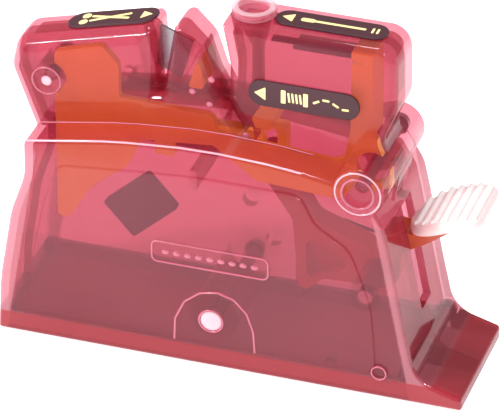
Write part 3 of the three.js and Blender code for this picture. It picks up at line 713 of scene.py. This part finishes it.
def buildFunnel():
    top = case["towerTop"] + 2.0
    coneEnd = case["towerTop"] - funnel["cone"]
    mouth, bore, stem, flange = (funnel[key] for key in ("mouth", "bore", "stem", "flange"))
    low = case["towerTop"] + 0.3
    profile = [(bore, funnel["stemEnd"]), (stem, funnel["stemEnd"]), (stem, coneEnd),
               (mouth + 0.5, case["towerTop"] - 0.4), (mouth + 0.6, low), (flange - 0.15, low)]
    for k in range(9):  # rolled lip
        angle = -math.pi / 2 + math.pi * k / 8
        height = (low + top) / 2 + (top - low) / 2 * math.sin(angle)
        profile.append((flange - 0.45 + 0.45 * math.cos(angle), height))
    profile += [(flange - 1.0, top), (mouth + 0.15, top - 0.05),
                (mouth - 0.15, top - 0.4), (mouth - 0.35, top - 1.2)]
    for k in range(1, 6):  # the cone's inside closes on the bore
        t = k / 5
        radius = bore + (mouth - 0.4 - bore) * (1 - t) ** 1.2
        profile.append((radius, top - 1.2 + (coneEnd + 0.5 - top + 1.2) * t))
    shape = turned("needleFunnel", needleX, 0, profile,
                   lambda z: funnel["lean"] * max(0.0, min(1.0, (z - coneEnd) / funnel["cone"])))
    return smoothShape(shape, 40)


dress(buildFunnel(), "funnel", "case", "clear_funnel", "needle_funnel")
print("funnel built")


labels = {
    "cutter": {"length": 19.6, "height": 6.2, "origin": (-29.2, 0, 68.7), "slope": math.atan2(7.8, 29.7)},
    "needle": {"length": 23.0, "height": 5.8, "origin": (16.3, 0, 75.2), "slope": 0.0},
    "thread": {"length": 22.9, "height": 5.8, "origin": (12.7, -6.5, 61.6), "slope": None},
}
film = {"gap": 0.1, "thick": 0.4, "edge": 0.15, "ink": 0.06}


def labelPoint(name, u, v, up):
    label = labels[name]
    ox, oy, oz = label["origin"]
    if label["slope"] is None:
        return (ox + u, oy - up, oz + v)
    c, s = math.cos(label["slope"]), math.sin(label["slope"])
    return (ox + u * c - up * s, oy + v, oz + u * s + up * c)


def raised(objectName, label, corners, low, high, edge, steps=3):
    loops = []
    for k in range(steps + 1):
        angle = math.pi / 2 * k / steps
        flat = outlinePoints(insetCorners(corners, edge * (1 - math.cos(angle))), 8)
        loops.append([labelPoint(label, u, v, high - edge + edge * math.sin(angle)) for u, v in flat])
    base = [labelPoint(label, u, v, low) for u, v in outlinePoints(corners, 8)]
    return loftRings(objectName, [base] + loops)


def pill(length, height, radius=None):
    radius = height / 2 * 0.98 if radius is None else radius
    a, b = length / 2, height / 2
    return [[-a, -b, radius], [a, -b, radius], [a, b, radius], [-a, b, radius]]


def moved(corners, u, v, turn=0.0):
    c, s = math.cos(turn), math.sin(turn)
    return [[u + a * c - b * s, v + a * s + b * c, r] for a, b, r in corners]


def arrow(u, v, size, way):
    back, tip = u - way * size * 0.75, u + way * size * 0.85
    return [[back, v - size, 0.12], [tip, v, 0.12], [back, v + size, 0.12]]


def labelMarks(name):
    spool = [pill(1.0, 3.0, 0.2), moved(pill(1.0, 3.0, 0.2), 4.6, 0)] + [
        moved(pill(0.45, 2.2, 0.2), 1.15 + 0.8 * i, 0, 0.12) for i in range(4)]
    if name == "thread":
        shapes = [arrow(-9.0, 0, 1.5, -1)]
        shapes += [moved(s, -4.2, 0) for s in spool]
        shapes += [moved(pill(1.5, 0.5, 0.2), 2.6 + 2.0 * i, 0.7 * math.sin(i * 1.6), 0.5 * math.cos(i * 1.6))
                   for i in range(4)]
    elif name == "needle":
        shapes = [arrow(-9.0, 0, 1.5, -1), moved(pill(12.0, 0.7, 0.3), 1.0, 0),
                  moved(pill(3.0, 1.3, 0.6), -4.9, 0)]
        shapes += [moved(pill(0.5, 1.9, 0.2), 8.4 + 1.0 * i, 0) for i in range(2)]
    else:
        shapes = [arrow(7.4, 0, 1.5, 1), moved(pill(9.0, 0.75, 0.3), -0.6, 0, 0.22),
                  moved(pill(9.0, 0.75, 0.3), -0.6, 0, -0.22),
                  moved(pill(1.9, 1.9, 0.9), -6.2, 1.25), moved(pill(1.9, 1.9, 0.9), -6.2, -1.25)]
    return shapes


for name, label in labels.items():
    base = raised(name + "Label", name, pill(label["length"], label["height"]), film["gap"],
                  film["gap"] + film["thick"], film["edge"])
    dress(smoothShape(base, 40), "label", "case", "label_plum", name + "_label")
    marks = None
    for i, corners in enumerate(labelMarks(name)):
        mark = raised(name + "Mark" + str(i), name, corners, film["gap"] + film["thick"] - 0.05,
                      film["gap"] + film["thick"] + film["ink"], 0.05, 1)
        marks = mark if marks is None else combine(marks, [mark], "UNION")
    marks.name = name + "Marks"
    dress(smoothShape(faceOutwards(marks), 40), "mark", "case", "label_plum")
print("labels built")


ridges = ridgeTree(finishes["crimson"])
beads = beadTree(finishes["crimson"])
face = case["half"] + panel["rise"]


def loopEdges(count):
    return [(i, (i + 1) % count) for i in range(count)]


def cartouche():
    loop = outlinePoints(moved(pill(24.5, 4.8, 1.2), -4.2, 25.9), 15)
    return growFrom("cartoucheRim", [(x, -face, z) for x, z in loop], loopEdges(len(loop)), ridges,
                    {"ridgeRadius": 0.22 * mm})


def baseArch():
    arch = [(-11.8, 5.6), (-11.6, 10.6), (-9.6, 15.0), (-6.4, 17.6), (-2.6, 18.4), (0.8, 17.4),
            (3.6, 14.6), (5.0, 10.4), (5.3, 5.6)]
    steps = [(i, i + 1) for i in range(len(arch) - 1)]
    return growFrom("baseArch", [(x, -face, z) for x, z in arch], steps, ridges, {"ridgeRadius": 0.25 * mm})


dress(cartouche(), "crimson", "case", "clear_pink")
dress(baseArch(), "crimson", "case", "clear_pink")
lozenges = growFrom("cartoucheBeads", [(-13.6 + 2.35 * i, -face, 25.9) for i in range(9)], [], beads,
                    {"beadRadius": 0.8 * mm, "flatten": (1.0, 0.3, 0.7)})
dress(lozenges, "crimson", "case", "clear_pink")


def addRing(name, x, y, z, radius, ridge, finish):
    points = [(x + a, y, z + b) for a, b in discCorners(radius, 40)]
    ring = growFrom(name, points, loopEdges(40), ridges, {"ridgeRadius": ridge * mm})
    dress(ring, finish, "case", "clear_pink")


def addCap(name, x, y, z, radius, finish):
    cap = growFrom(name, [(x, y, z)], [], beads, {"beadRadius": radius * mm, "flatten": (1.0, 0.08, 1.0)})
    dress(cap, finish, "case", "clear_pink")


baseX, baseZ = screws["base"][0], screws["base"][1]
mainX, mainZ = screws["main"][0], screws["main"][1]
headX, headZ = screws["head"][0], screws["head"][1]
bossFace = -case["half"] - case["bossLift"]
addRing("basePostRim", baseX, -face, baseZ, 2.5, 0.25, "crimson")
addCap("basePostCap", baseX, -face + 0.05, baseZ, 2.3, "cap")
# the boss's outer ring is a painted highlight
addRing("bossOuterRing", mainX, bossFace + 0.1, mainZ, 4.7, 0.22, "highlightLine")
addRing("bossInnerRing", mainX, bossFace + 0.05, mainZ, 3.3, 0.28, "crimson")
addRing("headPostRing", headX, -case["headHalf"] + 0.05, headZ, 3.0, 0.22, "crimson")
addCap("headPostCap", headX, -case["headHalf"] + 0.05, headZ, 1.2, "cap")
addRing("footPostRing", screws["foot"][0] - 6.0, -face, screws["foot"][1] + 1.2, 1.5, 0.18, "crimson")
# the two ledge lines are painted highlights: thin pale ridges for the white glints along the ledge's edges
ledgeLine = sorted(p for p in outlinePoints(bodyCorners) if p[1] > 46.0 and p[0] < 21.0)
ledgeEdges = [(i, i + 1) for i in range(len(ledgeLine) - 1)]
ledgeLines = [
    ("ledgeFrontLine", -case["half"] + 0.35, 0.22),
    ("ledgeRearLine", -case["headHalf"] - 0.4, 0.16),
]
for lineName, lineY, thick in ledgeLines:
    points = [(x, lineY, z - 0.12) for x, z in ledgeLine]
    line = growFrom(lineName, points, ledgeEdges, ridges, {"ridgeRadius": thick * mm})
    dress(line, "highlightLine", "case", "clear_pink")
headDots = [(-6.6, 62.4), (-10.6, 59.0), (-7.0, 56.6), (0.6, 50.9)]
dots = growFrom("headDots", [(x, -case["headHalf"], z) for x, z in headDots], [], beads,
                {"beadRadius": 0.7 * mm, "flatten": (1.0, 0.35, 1.0)})
dress(dots, "crimson", "case", "clear_pink")
print("raised details built")


carried = {
    "inner_frame": "yellow", "thumb_lever": "orange", "lever_axle": "steel", "return_spring": "dark",
    "drive_pin": "steel", "threading_slide": "yellow", "threading_hook": "steel", "guide_rod": "dark",
    "needle_leaf": "dark", "needle_seat": "yellow", "thread_guide": "yellow", "cutter_blade": "blade",
    "needle_magnet": "magnet", "head_screw": "steel", "main_screw": "steel", "base_screw": "steel",
    "foot_screw": "steel",
}
for nodeName, finish in carried.items():
    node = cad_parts[nodeName]
    if not node.material_slots:
        node.data.materials.append(None)
    for slotIndex in range(len(node.material_slots)):
        node.material_slots[slotIndex].material = finishes[finish]
print("carried pieces painted:", len(carried))


studio = {
    "azimuth": 18.262, "elevation": 31.974, "distance": 1.0, "lens": 357.8, "aim": (-0.0007, 0.0, 0.036),
    "drop": 0.0049, "floorHalf": 3000, "floorDrop": 0.05, "worldGlow": 0.55, "floorGlow": 0.66,
}


def placeCamera():
    a, e = math.radians(studio["azimuth"]), math.radians(studio["elevation"])
    away = Vector((math.sin(a) * math.cos(e), -math.cos(a) * math.cos(e), math.sin(e)))
    up = Vector((-math.sin(a) * math.sin(e), math.cos(a) * math.sin(e), math.cos(e)))
    data = bpy.data.cameras.new("camera")
    data.lens = studio["lens"]
    data.sensor_width = 36
    data.clip_start = 0.01
    camera = bpy.data.objects.new("camera", data)
    bpy.context.scene.collection.objects.link(camera)
    camera.location = Vector(studio["aim"]) - up * studio["drop"] + away * studio["distance"]
    camera.rotation_euler = (-away).to_track_quat("-Z", "Y").to_euler()
    bpy.context.scene.camera = camera


def areaLight(name, place, size, power, long=None, aim=(0, 0, 0.04)):
    data = bpy.data.lights.new(name, "AREA")
    data.shape = "RECTANGLE" if long else "DISK"
    data.size = size
    if long:
        data.size_y = long
    data.energy = power
    lamp = bpy.data.objects.new(name, data)
    bpy.context.scene.collection.objects.link(lamp)
    lamp.location = place
    lamp.rotation_euler = (Vector(aim) - Vector(place)).to_track_quat("-Z", "Y").to_euler()


def paleFloor():
    made = Finish("paleFloor")
    cloud = made.noise(3.0)
    tone = made.blendColours(cloud, (0.97, 0.97, 0.97), (0.95, 0.95, 0.955))
    return made.finish(made.surface(Base_Color=tone, Roughness=0.6 + cloud * 0.1, Emission_Color=tone,
                                    Emission_Strength=studio["floorGlow"]))


placeCamera()
reach = studio["floorHalf"]
floorCorners = [(a * reach, b * reach, -studio["floorDrop"]) for a, b in ((-1, -1), (1, -1), (1, 1), (-1, 1))]
floor = meshObject("floor", floorCorners, [[0, 1, 2, 3]])
floor.data.materials.append(paleFloor())
areaLight("keyLight", (-0.45, -0.35, 0.62), 0.07, 3.0)
areaLight("topLight", (-0.10, 0.15, 0.95), 0.22, 3.0)
areaLight("leftStrip", (-0.62, -0.42, 0.70), 0.035, 3.8, 0.45)
areaLight("rightStrip", (0.55, -0.45, 0.80), 0.035, 3.6, 0.45)
world = bpy.data.worlds.new("studio")
world.use_nodes = True
world.node_tree.nodes["Background"].inputs[0].default_value = (1, 1, 1, 1)
world.node_tree.nodes["Background"].inputs[1].default_value = studio["worldGlow"]
bpy.context.scene.world = world
bpy.context.scene.view_settings.view_transform = "Standard"

print("studio ready")
